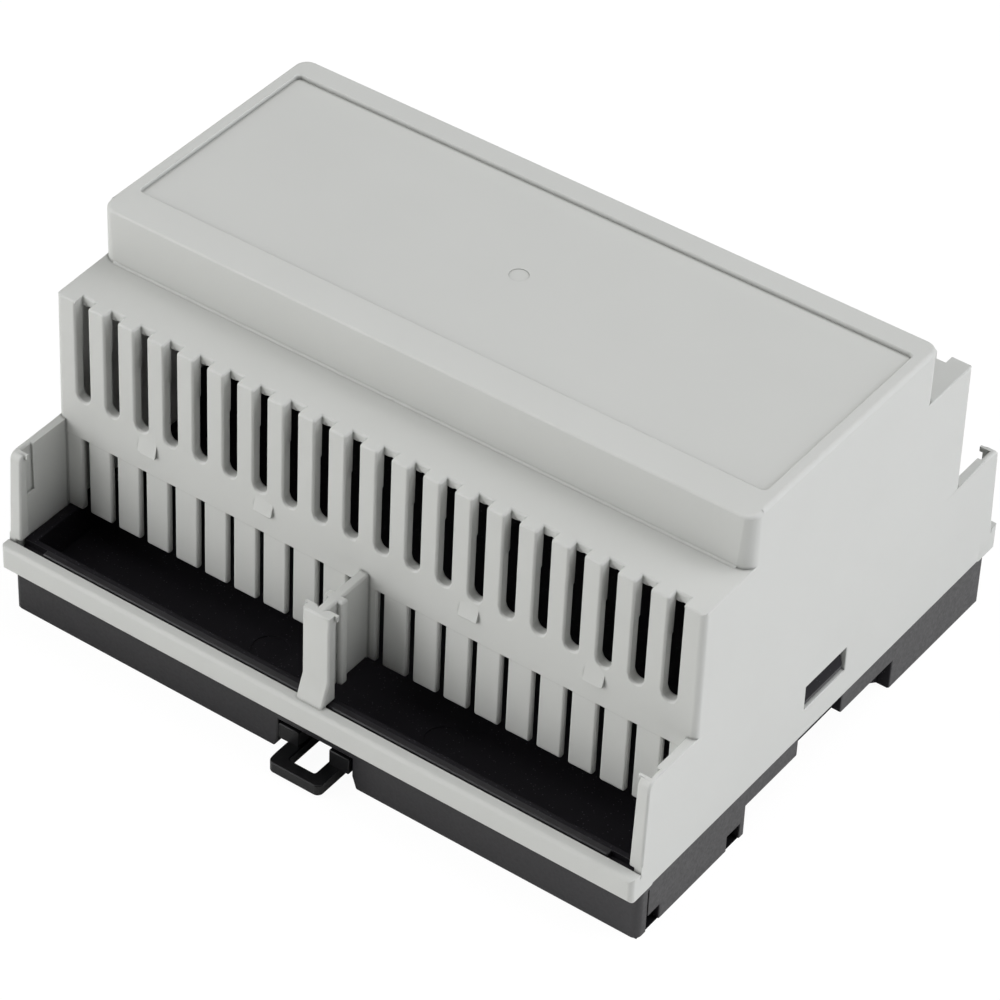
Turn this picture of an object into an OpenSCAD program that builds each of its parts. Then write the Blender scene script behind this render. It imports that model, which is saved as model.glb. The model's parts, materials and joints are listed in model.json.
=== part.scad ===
// Six-module enclosure for a 35 mm top-hat rail. A vented light-grey cover with
// four open terminal wells snaps onto a black base, and a rail clip slides in a
// channel under the base. Heights are measured from the feet, set-backs from the
// outer face of the front or rear sill. The origin lies on the rail seat, in the
// middle of the case. -Y is the side with the clip's loop.

/* [Case] */
// Width of the case, end plate to end plate
case_w = 106; // [90:1:142]
// Depth of the case over its two sills
case_d = 90; // [84:1:100]
// Height of the case from the feet to the top face
case_h = 58; // [54:1:70]
// Height of the joint between base and cover
split_h = 8.6; // [7.8:0.1:9.4]
// Height of the face that rests on the rail
seat_h = 5.2; // [4.8:0.1:5.6]

/* [Cover walls] */
// Thickness of the end plates
end_wall = 1.3; // [1.1:0.05:1.7]
// Thickness of the vent walls
vent_wall = 1.7; // [1.4:0.1:2]
// Thickness of the shoulders, risers and top
shell_wall = 1.4; // [1.1:0.1:1.8]
// Inward lean of each end plate from the joint to the shoulders
end_lean = 0.3; // [0.1:0.05:0.5]
// Radius along the top's two end edges
end_r = 0.7; // [0.5:0.1:1.2]
// Radius along the front and rear edges of the top and along the shoulders
edge_r = 0.4; // [0.3:0.05:0.6]
// Radius of the upright corners of the raised top
corner_r = 2; // [1.6:0.1:3]
// Radius of the upright corners between the vent walls and the end plates
vent_r = 0.9; // [0.5:0.1:1.2]

/* [Stepped profile] */
// Set-back of the end plates' edge at the sill
wing_set = 2; // [1.6:0.1:2.4]
// Further set-back of that edge at its top
wing_lean = 0.7; // [0.3:0.1:1]
// Height of the end plates beside the terminal wells
wing_h = 27.7; // [27:0.1:30]
// Radius of the end plates' outer top corner
wing_r = 1.2; // [0.6:0.1:2]
// Set-back of the vent wall at the shoulder
well_d = 13.15; // [12:0.05:15]
// Outward lean of the vent wall from the shoulder to its foot
vent_lean = 0.3; // [0:0.1:0.6]
// Height of the shoulder's outer edge
shoulder_h = 48.75; // [46:0.05:51]
// Rise of the shoulder towards the riser
shoulder_rise = 0.3; // [0.1:0.1:0.8]
// Set-back of the risers
riser_set = 22.9; // [20:0.1:25]
// Size of the bevelled plinth at the risers' foot
plinth = 0.25; // [0.15:0.05:0.4]
// Width of the shallow bevel along the front of the top face
bevel_w = 3.1; // [3:0.1:4]
// Drop of that bevel where it meets the riser
bevel_drop = 0.45; // [0.2:0.05:0.8]

/* [Sills] */
// Thickness of the sills in front of the terminal wells
sill_t = 1.9; // [1.5:0.1:2.2]
// Height of the sills' top
sill_h = 12.7; // [12:0.1:13.4]
// Radius along the sills' outer edges
sill_r = 0.7; // [0.3:0.1:0.9]
// Radius of the sills' upright ends
sill_end_r = 0.9; // [0.5:0.1:1.2]

/* [Slots] */
// Spacing of the slots along the case
slot_pitch = 5.08; // [4.5:0.02:6]
// Width of the upper vent slots
vent_slot_w = 2.3; // [1.6:0.1:2.8]
// Height of the round foot of the vent slots
vent_foot_h = 32.1; // [31:0.1:36]
// Width of the gaps between the comb's fingers
comb_gap_w = 1.1; // [0.8:0.1:1.8]
// Height of the fingers' lower ends
comb_foot_h = 12.7; // [12:0.1:14]
// Height of the top of the finger gaps
comb_top_h = 25.5; // [23:0.1:26.5]
// Thickness of the fingers
finger_t = 1; // [0.8:0.1:1.2]
// Set-back of the fingers behind the wall above them
finger_set = 0.1; // [0.05:0.05:0.2]

/* [Guard barbs] */
// Width of the barbs above the comb
barb_w = 3.1; // [2:0.1:4]
// Height of the barbs
barb_h = 2.1; // [1.5:0.1:2.6]
// How far the barbs stand out at their lower edge
barb_out = 0.55; // [0.3:0.05:0.9]
// Height of the barbs' lower edge
barb_foot_h = 28.9; // [27.5:0.1:30]
// Distance of the outer barbs from the case's ends
barb_end = 16; // [12:0.5:20]
// Distance between the two barbs of a well
barb_space = 20; // [12:0.5:22]

/* [Well dividers] */
// Set-back of the divider posts
post_set = 2.4; // [2.2:0.1:2.8]
// Width of the divider posts
post_w = 4.4; // [3:0.1:6]
// Thickness of the posts and of the lips on the end plates
lip_t = 1.6; // [1.2:0.1:2]
// How far those lips stand in from the end plates
lip_in = 0.6; // [0.3:0.1:0.9]
// Width of the groove for a guard panel behind the lips
guard_gap = 2.1; // [1.6:0.1:2.6]
// Depth of that groove in the end plates
guard_t = 0.45; // [0.3:0.05:0.6]
// Height of the groove's foot
guard_foot_h = 19.6; // [16:0.1:24]
// Width of the cross rib behind the groove
rib_w = 3.1; // [2.4:0.1:4]
// Thickness of the cross rib
rib_t = 1.3; // [1:0.1:1.8]
// Thickness of the divider's web
web_t = 1.4; // [1.2:0.1:2.2]
// Height of the ramp from the sill up to the post
ramp_h = 3.8; // [2:0.1:5]
// Gap under the divider's web and rib
web_gap = 0.3; // [0.2:0.05:0.6]
// Size of the retaining nubs at the groove's mouth
nub = 0.45; // [0.3:0.05:0.6]

/* [Label recess] */
// Depth of the recess in the top face
label_t = 0.7; // [0.4:0.1:1]
// Rim at the recess's ends
label_end = 2; // [1.6:0.1:4]
// Rim between the bevel and the recess
label_front = 2.4; // [1.5:0.1:5]
// Rim between the recess and the rear riser
label_rear = 3.7; // [2:0.1:6]
// Corner radius of the recess
label_r = 0.8; // [0.5:0.1:3]
// Diameter of the gate mark in the recess
gate_d = 2.8; // [2:0.1:4]
// Depth of the gate mark
gate_t = 0.1; // [0.05:0.05:0.2]

/* [Snap fastening] */
// Width of the snap windows in the end plates
window_w = 10; // [8:0.1:14]
// Height of the windows' lower edge
window_foot_h = 13.4; // [13:0.1:15]
// Height of the windows
window_h = 4.1; // [3.5:0.1:5]
// Play of the catches in the windows
catch_gap = 0.3; // [0.2:0.05:0.5]
// Reach of the catches into the end plates
catch_out = 1.25; // [0.9:0.05:1.3]
// Height of the catches' tabs above the windows
tab_over = 1.1; // [0.6:0.1:2]
// Width of the slits beside the catches' tabs
slit_w = 0.6; // [0.4:0.1:1.2]

/* [Base] */
// Set-back of the base's front and rear walls
base_set = 2.4; // [2.3:0.1:3]
// Set-back of the base's ends behind the end plates
base_end = 0.2; // [0.1:0.1:0.6]
// Thickness of the base's outer walls
base_wall = 2; // [1.6:0.1:2.4]
// Radius of the base's upright corners
base_r = 1.1; // [0.6:0.1:2]
// Thickness of the floor
floor_t = 1.6; // [1.2:0.1:2]
// Gap between the base's rim and the top of the sills
rim_gap = 0.2; // [0.2:0.05:0.5]
// Thickness of the rim's end walls
tongue_t = 1.5; // [1.2:0.1:2]
// Play between the end plates and the rim
tongue_gap = 0.25; // [0.2:0.05:0.4]
// Length of the cut in each end of the front and rear rims
rim_cut = 4; // [2:0.5:6]
// Depth of those cuts
rim_cut_t = 1; // [0.5:0.1:1.5]
// Diameter of the ejector marks on the floor
ejector_d = 5.4; // [4:0.1:7]
// Depth of the ejector marks
ejector_t = 0.15; // [0.1:0.05:0.3]
// Distance of the ejector marks from the middle along the case
ejector_x = 14.7; // [11:0.1:40]
// Set-back of the ejector marks
ejector_set = 11.5; // [9:0.5:22]

/* [Rail channel] */
// Set-back of the channel's front side
rail_set = 27.4; // [26:0.1:29]
// Width of the channel that takes a 35 mm rail
rail_gap = 36.1; // [35.8:0.1:37]
// Thickness of the rail's brim
rail_brim = 1; // [0.9:0.1:1.5]
// Play between the brim and the hooks
rail_play = 0.3; // [0.2:0.05:0.5]
// Thickness of the channel's side walls
foot_wall = 1.2; // [1:0.1:1.6]
// Reach of the fixed hooks over the brim
hook_out = 2.5; // [1.8:0.1:3]
// Height of the hooks' front edge
hook_foot_h = 1.6; // [1:0.1:2.4]
// Length of each fixed hook
hook_len = 12; // [8:0.5:16]
// Distance of the outer hooks from the base's ends
hook_end = 2; // [1.5:0.1:5]
// Width of the notches under the front foot's ends
notch_w = 3; // [2:0.1:4]
// Height of those notches
notch_h = 2.65; // [2:0.05:3.2]
// Width of the seam lines at the front foot's corners
seam_w = 0.3; // [0.2:0.05:0.5]

/* [Rail clip] */
// Width of the clip's channel in the base
channel_w = 12.5; // [11.5:0.1:14]
// Thickness of the channel's walls
channel_wall = 1.4; // [1.1:0.1:1.8]
// Set-back of the ledges under the clip behind the base's wall
ledge_set = 6; // [5:0.1:9]
// Width of the flare at the channel's front mouth
mouth_flare = 0.7; // [0.4:0.1:1.2]
// Height of that flare
mouth_rise = 2.1; // [1:0.1:3]
// Play of the clip in its channel
clip_play = 0.3; // [0.2:0.05:0.35]
// Travel of the clip when it is pulled out
clip_travel = 4; // [3:0.1:4.5]
// Height of the clip's underside
clip_foot_h = 0.5; // [0.3:0.1:0.8]
// Thickness of the clip's plate and loop
plate_t = 1.8; // [1.5:0.1:2]
// Width of the loop
loop_w = 8.8; // [8.2:0.1:9.6]
// Reach of the loop in front of the base
loop_out = 4.7; // [4:0.1:6]
// Width of the loop's front bar
loop_bar = 1.9; // [1.6:0.05:2.4]
// Width of the hole in the loop
hole_w = 4.5; // [3.8:0.05:4.6]
// Length of the hole in the loop
hole_len = 7.2; // [5:0.1:9]
// Clear space between the clip's two runners
runner_gap = 5.1; // [4.6:0.1:5.6]
// Reach of the runners' front ends before the base's wall
runner_out = 0.2; // [0.1:0.05:0.6]
// Reach of the clip's nose under the rail
nose_out = 2.8; // [2.4:0.1:3.2]
// Reach of the travel lugs beyond the runners
lug_out = 0.9; // [0.6:0.1:1.2]
// Length of the travel lugs
lug_len = 1.6; // [1:0.1:2.4]
// Height of the travel lugs
lug_h = 1.5; // [1:0.1:1.8]
// Height of the lugs' underside above the plate
lug_lift = 0.5; // [0.4:0.1:0.6]
// Distance of the lugs from the runners' rear ends
lug_set = 3; // [2.5:0.1:4]
// Thickness of the springy arms that carry the travel lugs
arm_t = 1.2; // [1:0.1:1.4]
// Length of the arms in front of the lugs
arm_len = 8; // [5:0.5:10]
// Width of the slits beside those arms
arm_slit_w = 0.8; // [0.6:0.1:1]

/* [Hidden] */

past = 1;
arc_steps = 6;
round_faces = 48;

half_w = case_w / 2;
half_d = case_d / 2;
shoulder_top = shoulder_h + shoulder_rise;
riser_y = half_d - riser_set;
shoulder_slope = shoulder_rise / (riser_set - well_d);
stage_top = shoulder_top + shoulder_slope * corner_r;
bevel_slope = bevel_drop / bevel_w;
inner_top = case_h - label_t - shell_wall;
slot_pairs = floor((half_w - end_wall - vent_slot_w) / slot_pitch + 0.5);
guard_y = half_d - post_set - lip_t;
web_foot_h = sill_h + web_gap;
barb_xs = [half_w - barb_end, half_w - barb_end - barb_space];

base_x = half_w - base_end;
base_y = half_d - base_set;
floor_h = seat_h + floor_t;
rim_h = sill_h - rim_gap;
tongue_x = half_w - end_wall - tongue_gap;
rail_y = half_d - rail_set;
hook_h = seat_h - rail_brim - rail_play;
catch_w = window_w - 2 * catch_gap;
tab_h = window_foot_h + window_h + tab_over;

clip_w = channel_w - 2 * clip_play;
plate_top = clip_foot_h + plate_t;
runner_top = seat_h - clip_play;
runner_front = base_y + runner_out;
runner_rear = rail_y + foot_wall;
lug_rear = runner_rear + lug_set;
lug_foot_h = plate_top + lug_lift;

// Half width of the leaning end plates at a height
function end_x(z) = half_w - end_lean * (min(z, stage_top) - split_h) / (stage_top - split_h);

// Distance of the leaning vent wall's face from the middle at a height
function vent_y(z) = half_d - well_d + vent_lean * (shoulder_h - z) / (shoulder_h - comb_foot_h);

function unit(v) = v / norm(v);

// Points of the arc of radius r that rounds the corner b between a and c
function corner_arc(a, b, c, r) =
    let (
        u = unit(a - b),
        w = unit(c - b),
        half = acos(u * w) / 2,
        centre = b + unit(u + w) * r / sin(half),
        p = b + u * r / tan(half) - centre,
        q = b + w * r / tan(half) - centre,
        sweep = 180 - 2 * half
    )
    [for (i = [0 : arc_steps])
        centre + (p * sin(sweep * (1 - i / arc_steps)) + q * sin(sweep * i / arc_steps)) / sin(sweep)];

// Outline through the points [x, y, r], each corner rounded by its radius r
function rounded(corners) =
    let (n = len(corners), xy = [for (c = corners) [c[0], c[1]]])
    [for (i = [0 : n - 1])
        each corners[i][2] == 0
            ? [xy[i]]
            : corner_arc(xy[(i + n - 1) % n], xy[i], xy[(i + 1) % n], corners[i][2])];

function reversed(list) = [for (i = [len(list) - 1 : -1 : 0]) list[i]];

function mirrored(list) = [for (c = reversed(list)) [-c[0], c[1], c[2]]];

// A closed outline that is the same on both sides of the middle
function both_halves(list) = concat(list, mirrored(list));

function box_corners(x0, x1, y0, y1, r) = [[x0, y0, r], [x1, y0, r], [x1, y1, r], [x0, y1, r]];

// Extrudes an outline drawn in Y and Z along X, centred
module along_x(length) {
    rotate([90, 0, 90]) linear_extrude(height = length, center = true) children();
}

// Extrudes an outline drawn in X and Z along Y, centred
module along_y(length) {
    rotate([90, 0, 0]) linear_extrude(height = length, center = true) children();
}

// A box from its two corners
module box(from, to) {
    translate(from) cube(to - from);
}

module at_both_ends() {
    children();
    mirror([1, 0, 0]) children();
}

module on_both_sides() {
    children();
    mirror([0, 1, 0]) children();
}

// Outer outline of the end plates up to the shoulders, with wings beside the wells
module stage_outline() {
    front = [
        [-half_d + sill_end_r, split_h, 0],
        [-half_d + sill_end_r, sill_h - sill_r, 0],
        [-half_d + wing_set, sill_h - sill_r, 0],
        [-half_d + wing_set + wing_lean, wing_h, wing_r],
        [-vent_y(wing_h), wing_h, 0],
        [-vent_y(shoulder_h), shoulder_h, edge_r],
        [-riser_y + corner_r, stage_top, 0]
    ];
    polygon(rounded(both_halves(front)));
}

// Outer outline of the raised top, with the shallow bevel along its front
module top_outline() {
    polygon(rounded([
        [-riser_y, shoulder_top - shell_wall, 0],
        [-riser_y, case_h - bevel_drop, edge_r],
        [-riser_y + bevel_w, case_h, 0],
        [riser_y, case_h, edge_r],
        [riser_y, shoulder_top - shell_wall, 0]
    ]));
}

// The room between the outer faces of the two leaning end plates
module between_ends() {
    along_y(case_d) polygon(rounded(both_halves([
        [-half_w, split_h, 0],
        [-end_x(stage_top), stage_top, 0],
        [-end_x(case_h), case_h, end_r]
    ])));
}

// Bevelled plinth along the straight foot of the risers
module plinths() {
    on_both_sides() along_x(2 * (end_x(case_h) - corner_r)) polygon([
        [-riser_y - plinth - shell_wall / 2, shoulder_top - shell_wall / 2],
        [-riser_y, shoulder_top + plinth],
        [-riser_y + shell_wall / 2, shoulder_top + plinth],
        [-riser_y + shell_wall / 2, shoulder_top - shell_wall / 2]
    ]);
}

// Rounds the upright corner between the vent wall and the end plate at +X and +Y
module vent_corner() {
    foot = [end_x(wing_h), vent_y(wing_h), wing_h];
    edge = [end_x(shoulder_h), vent_y(shoulder_h), shoulder_h] - foot;
    lean = unit(edge);
    intersection() {
        box([0, 0, wing_h], [half_w + past, half_d + past, case_h]);
        translate(foot)
            rotate([-asin(lean[1]), atan2(lean[0], lean[2]), 0])
            translate([0, 0, -vent_r])
            linear_extrude(height = norm(edge) + 2 * vent_r)
            polygon(concat(
                corner_arc([0, -vent_r], [0, 0], [-vent_r, 0], vent_r),
                [[-vent_r, past], [past, past], [past, -vent_r]]
            ));
    }
}

// Rounds the top edge of the raised top's upright corner at +X and +Y, one facet of the
// corner after the other. The radius passes from the end edge's to the rear edge's, and
// the top face falls towards +Y by the given slope.
module corner_rounding(slope) {
    step = 90 / arc_steps;
    face_u = corner_r * cos(step / 2);
    centre = [end_x(case_h) - corner_r, riser_y - corner_r];
    run_on = 1.1 * abs(end_r - edge_r) / (arc_steps * tan(step));
    for (i = [0 : arc_steps - 1]) {
        turn = (i + 0.5) * step;
        r = end_r + (edge_r - end_r) * turn / 90;
        drop = slope * (bevel_w - corner_r + face_u * sin(turn));
        arc = corner_arc([face_u, -past], [face_u, 0], [face_u - past, past * slope * sin(turn)], r);
        translate([centre[0], centre[1], case_h - drop])
            rotate([0, 0, turn])
            rotate([-atan(slope * cos(turn)), 0, 0])
            along_y(2 * (corner_r * sin(step / 2) + run_on)) polygon(concat(
                arc,
                [[arc[arc_steps][0], past], [face_u + past, past], [face_u + past, -r]]
            ));
    }
}

// The cover's outer form before it is hollowed
module cover_form() {
    top_x = end_x(case_h);
    difference() {
        intersection() {
            between_ends();
            union() {
                along_x(case_w) stage_outline();
                plinths();
                intersection() {
                    along_x(case_w) top_outline();
                    linear_extrude(height = case_h)
                        polygon(rounded(box_corners(-top_x, top_x, -riser_y, riser_y, corner_r)));
                }
            }
        }
        at_both_ends() {
            corner_rounding(0);
            mirror([0, 1, 0]) corner_rounding(bevel_slope);
            on_both_sides() vent_corner();
        }
    }
}

// Everything that is open between the end plates: the inside and the wells
module cover_hollow() {
    inside = [
        [-vent_y(comb_foot_h) + vent_wall, comb_foot_h - past, 0],
        [-vent_y(shoulder_h) + vent_wall, shoulder_h - shell_wall, 0],
        [-riser_y + shell_wall, shoulder_top - shell_wall, 0],
        [-riser_y + shell_wall, inner_top, 0]
    ];
    well = [
        [-half_d - past, comb_foot_h - past],
        [-vent_y(comb_foot_h - past), comb_foot_h - past],
        [-vent_y(wing_h + past), wing_h + past],
        [-half_d - past, wing_h + past]
    ];
    intersection() {
        along_y(case_d + 2 * past) polygon([
            [-end_x(split_h - past) + end_wall, split_h - past],
            [-end_x(stage_top) + end_wall, stage_top],
            [-end_x(case_h) + end_wall, case_h],
            [end_x(case_h) - end_wall, case_h],
            [end_x(stage_top) - end_wall, stage_top],
            [end_x(split_h - past) - end_wall, split_h - past]
        ]);
        union() {
            along_x(case_w) polygon(rounded(both_halves(inside)));
            on_both_sides() along_x(case_w) polygon(well);
            box([-half_w, -half_d - past, split_h - past], [half_w, half_d + past, comb_foot_h]);
        }
    }
}

// One sill, rounded along its outer edges and at its two ends
module sill() {
    intersection() {
        between_ends();
        along_x(case_w) polygon(rounded([
            [-half_d, split_h, sill_r],
            [-half_d + sill_t, split_h, 0],
            [-half_d + sill_t, sill_h, sill_r / 4],
            [-half_d, sill_h, sill_r]
        ]));
        linear_extrude(height = case_h)
            polygon(rounded(box_corners(-half_w, half_w, -half_d, half_d, sill_end_r)));
    }
}

// Lips along the front edges of the end plates beside one pair of wells
module lips() {
    plate_x = end_x(wing_h) - end_wall;
    intersection() {
        along_x(case_w) stage_outline();
        at_both_ends() box(
            [plate_x - lip_in, -half_d, web_foot_h],
            [plate_x + end_wall / 2, -guard_y, wing_h]
        );
    }
}

// One well divider: post on the sill, guard groove, cross rib and web
module divider() {
    post_y = -half_d + post_set;
    rib_y = -guard_y + guard_gap;
    lip_x = end_x(wing_h) - end_wall - lip_in;
    box([-post_w / 2, post_y, sill_h], [post_w / 2, -guard_y, wing_h]);
    along_x(post_w) polygon([
        [-half_d + sill_r, sill_h - sill_r],
        [-half_d + sill_t, sill_h - sill_r],
        [-half_d + sill_t, sill_h],
        [post_y + lip_t / 2, sill_h],
        [post_y + lip_t / 2, sill_h + ramp_h],
        [post_y, sill_h + ramp_h]
    ]);
    box([-rib_w / 2, rib_y, web_foot_h], [rib_w / 2, rib_y + rib_t, wing_h]);
    box(
        [-web_t / 2, -guard_y - lip_t / 2, web_foot_h],
        [web_t / 2, -vent_y(wing_h) + vent_wall / 2, wing_h]
    );
    at_both_ends() {
        box([post_w / 2 - nub, -guard_y - nub, wing_h - 2 * nub], [post_w / 2 + nub, -guard_y, wing_h]);
        box([lip_x - nub, -guard_y - nub, wing_h - 2 * nub], [lip_x + nub, -guard_y, wing_h]);
    }
}

// Barbs on one vent wall, flush at the top and standing out at the lower edge
module barbs() {
    outline = [
        [-vent_y(barb_foot_h) + vent_wall / 2, barb_foot_h],
        [-vent_y(barb_foot_h) - barb_out, barb_foot_h],
        [-vent_y(barb_foot_h + barb_h), barb_foot_h + barb_h],
        [-vent_y(barb_foot_h + barb_h) + vent_wall / 2, barb_foot_h + barb_h]
    ];
    at_both_ends() for (x = barb_xs) translate([x, 0, 0]) along_x(barb_w) polygon(outline);
}

// Takes off one vent wall's fingers in front and behind, so that they are thinner
module finger_cuts() {
    low = comb_foot_h - past;
    low_y = -vent_y(low);
    top_y = -vent_y(comb_top_h);
    back = finger_set + finger_t;
    at_both_ends() translate([(tongue_x + web_t / 2) / 2, 0, 0]) along_x(tongue_x - web_t / 2) {
        polygon([
            [low_y - finger_set, low],
            [low_y + finger_set, low],
            [top_y + finger_set, comb_top_h],
            [top_y - finger_set, comb_top_h]
        ]);
        polygon([
            [low_y + back, low],
            [low_y + vent_wall + past, low],
            [top_y + vent_wall + past, comb_top_h],
            [top_y + back, comb_top_h]
        ]);
    }
}

// Upper vent slots and comb gaps through one vent wall
module vent_cuts() {
    out_y = -vent_y(comb_foot_h) - past;
    in_y = -vent_y(shoulder_h) + vent_wall;
    deep = in_y - out_y;
    mid_y = (in_y + out_y) / 2;
    for (i = [0 : slot_pairs - 1]) at_both_ends() translate([(i + 0.5) * slot_pitch, mid_y, 0]) {
        along_y(deep) {
            translate([0, vent_foot_h + vent_slot_w / 2]) circle(d = vent_slot_w, $fn = round_faces);
            translate([-vent_slot_w / 2, vent_foot_h + vent_slot_w / 2])
                square([vent_slot_w, shoulder_top + past - vent_foot_h]);
            translate([-comb_gap_w / 2, comb_foot_h - past])
                square([comb_gap_w, comb_top_h - comb_foot_h + past]);
        }
    }
}

// Grooves behind the lips of the end plates, open at the top
module guard_grooves() {
    groove_x = end_x(wing_h) - end_wall;
    at_both_ends() box(
        [groove_x - past, -guard_y, guard_foot_h],
        [groove_x + guard_t, -guard_y + guard_gap, wing_h + past]
    );
}

// Shallow recess in the top face, with the round mark left by the gate
module label_recess() {
    x = end_x(case_h) - label_end;
    y0 = -riser_y + bevel_w + label_front;
    y1 = riser_y - label_rear;
    translate([0, 0, case_h - label_t]) {
        linear_extrude(height = label_t + past) polygon(rounded(box_corners(-x, x, y0, y1, label_r)));
        translate([0, (y0 + y1) / 2, -gate_t]) cylinder(d = gate_d, h = label_t, $fn = round_faces);
    }
}

// The vented cover, one moulding with its sills, combs and dividers
module cover() {
    color("#c6c7c3") translate([0, 0, -seat_h]) difference() {
        union() {
            difference() {
                cover_form();
                cover_hollow();
            }
            on_both_sides() {
                sill();
                lips();
                divider();
                barbs();
            }
        }
        on_both_sides() {
            vent_cuts();
            finger_cuts();
            guard_grooves();
        }
        label_recess();
        box(
            [-half_w - past, -window_w / 2, window_foot_h],
            [-half_w + end_lean + end_wall + past, window_w / 2, window_foot_h + window_h]
        );
        box(
            [half_w - end_lean - end_wall - past, -window_w / 2, window_foot_h],
            [half_w + past, window_w / 2, window_foot_h + window_h]
        );
    }
}

// Outer walls and floor of the base, with the rail channel across its underside
module base_shell() {
    in_x = base_x - base_wall;
    in_y = base_y - base_wall;
    difference() {
        linear_extrude(height = split_h)
            polygon(rounded(box_corners(-base_x, base_x, -base_y, base_y, base_r)));
        box([-in_x, -in_y, floor_h], [in_x, in_y, split_h + past]);
        box([-in_x, -in_y, -past], [in_x, -rail_y - foot_wall, seat_h]);
        box([-in_x, rail_gap - rail_y + foot_wall, -past], [in_x, in_y, seat_h]);
        box([-half_w, -rail_y, -past], [half_w, rail_gap - rail_y, seat_h]);
    }
}

// The walls that stand up inside the cover, behind its sills and end plates
module base_rim() {
    in_x = tongue_x - tongue_t;
    in_y = base_y - base_wall;
    difference() {
        translate([0, 0, split_h]) linear_extrude(height = rim_h - split_h)
            polygon(rounded(box_corners(-tongue_x, tongue_x, -base_y, base_y, base_r)));
        box([-in_x, -in_y, split_h - past], [in_x, in_y, rim_h + past]);
        at_both_ends() on_both_sides() box(
            [tongue_x - rim_cut, -base_y - past, rim_h - rim_cut_t],
            [tongue_x + past, -base_y + base_wall / 2, rim_h + past]
        );
    }
    at_both_ends() box([in_x, -in_y, floor_h - floor_t / 2], [tongue_x, in_y, rim_h]);
}

// One springy tab with the catch that locks into the end plate's window
module snap_tab() {
    tab_y = catch_w / 2;
    catch_foot_h = window_foot_h + catch_gap;
    catch_top_h = window_foot_h + window_h - catch_gap;
    box([tongue_x - tongue_t, -tab_y, floor_h - floor_t / 2], [tongue_x, tab_y, tab_h]);
    along_y(catch_w) polygon([
        [tongue_x - tongue_t / 2, catch_foot_h],
        [tongue_x + catch_out, catch_foot_h],
        [tongue_x + catch_out, catch_foot_h + window_h / 5],
        [tongue_x + catch_out / 2, catch_top_h],
        [tongue_x - tongue_t / 2, catch_top_h]
    ]);
}

// Room beside and below the snap tabs so that they can bend
module snap_clearance() {
    tab_y = catch_w / 2;
    box([tongue_x, -tab_y - slit_w, seat_h - past], [half_w, tab_y + slit_w, split_h + past]);
    on_both_sides() box(
        [tongue_x - tongue_t - past, tab_y, floor_h],
        [tongue_x + past, tab_y + slit_w, rim_h + past]
    );
}

// Fixed hooks that reach under the rail's rear brim
module rail_hooks() {
    root_y = rail_gap - rail_y;
    end_at = base_x - hook_end - hook_len / 2;
    for (x = [-end_at, 0, end_at]) translate([x, 0, 0]) along_x(hook_len) polygon([
        [root_y + foot_wall / 2, 0],
        [root_y, 0],
        [root_y - hook_out, hook_foot_h],
        [root_y - hook_out, hook_h],
        [root_y + foot_wall / 2, hook_h]
    ]);
}

// Channel under the floor that guides the clip, with ledges below its runners
module clip_channel() {
    side_x = channel_w / 2;
    at_both_ends() {
        difference() {
            box(
                [side_x, -base_y + base_wall / 2, 0],
                [side_x + channel_wall, -rail_y - foot_wall / 2, seat_h + floor_t / 2]
            );
            box(
                [side_x - past, -lug_rear - lug_len - clip_travel - clip_play, lug_foot_h - clip_play],
                [side_x + channel_wall + past, -lug_rear + clip_play, lug_foot_h + lug_h + clip_play]
            );
        }
        box(
            [loop_w / 2 + clip_play, -base_y + ledge_set, 0],
            [side_x + channel_wall / 2, -runner_rear, plate_top - clip_play]
        );
    }
}

// Mouths of the clip's channel through the front wall and the foot's rear wall
module channel_mouths() {
    side_x = channel_w / 2;
    translate([0, -base_y, 0]) along_y(2 * base_wall + past) polygon(rounded(both_halves([
        [-side_x - mouth_flare, -past, 0],
        [-side_x - mouth_flare, 0, 0],
        [-side_x, mouth_rise, 0],
        [-side_x, seat_h, 0]
    ])));
    box([-side_x, -rail_y - foot_wall - past, -past], [side_x, -rail_y + past, seat_h]);
}

// Notches under the front foot's ends and the seam lines at its corners
module foot_notches() {
    in_y = base_y - base_wall;
    for (y = [-in_y, -rail_y - foot_wall - notch_w])
        box([base_x - base_wall - past, y, -past], [half_w, y + notch_w, notch_h]);
    box([base_x - seam_w, -in_y, notch_h / 2], [half_w, -in_y + seam_w, split_h - past]);
}

// The black base, one moulding with its rim, channel, hooks and snap tabs
module base() {
    color("#3a3a3c") translate([0, 0, -seat_h]) {
        difference() {
            union() {
                base_shell();
                base_rim();
                clip_channel();
                rail_hooks();
            }
            at_both_ends() {
                snap_clearance();
                foot_notches();
            }
            channel_mouths();
            at_both_ends() on_both_sides() translate([ejector_x, half_d - ejector_set, floor_h - ejector_t])
                cylinder(d = ejector_d, h = past, $fn = round_faces);
        }
        at_both_ends() snap_tab();
    }
}

// The clip's plate with its pull loop in front
module clip_plate() {
    front_y = -base_y - loop_out;
    hole_y = front_y + loop_bar;
    translate([0, 0, clip_foot_h]) linear_extrude(height = plate_t) difference() {
        polygon(rounded([
            [-loop_w / 2, front_y, loop_bar / 2],
            [loop_w / 2, front_y, loop_bar / 2],
            [loop_w / 2, -runner_rear, 0],
            [-loop_w / 2, -runner_rear, 0]
        ]));
        polygon(rounded(box_corners(-hole_w / 2, hole_w / 2, hole_y, hole_y + hole_len, loop_bar / 5)));
    }
}

// One runner that rides on the channel's ledge, with its travel lug
module clip_runner() {
    box([runner_gap / 2, -runner_front, plate_top], [clip_w / 2, -runner_rear, runner_top]);
    box(
        [clip_w / 2 - lug_out, -lug_rear - lug_len, lug_foot_h],
        [clip_w / 2 + lug_out, -lug_rear, lug_foot_h + lug_h]
    );
}

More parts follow.
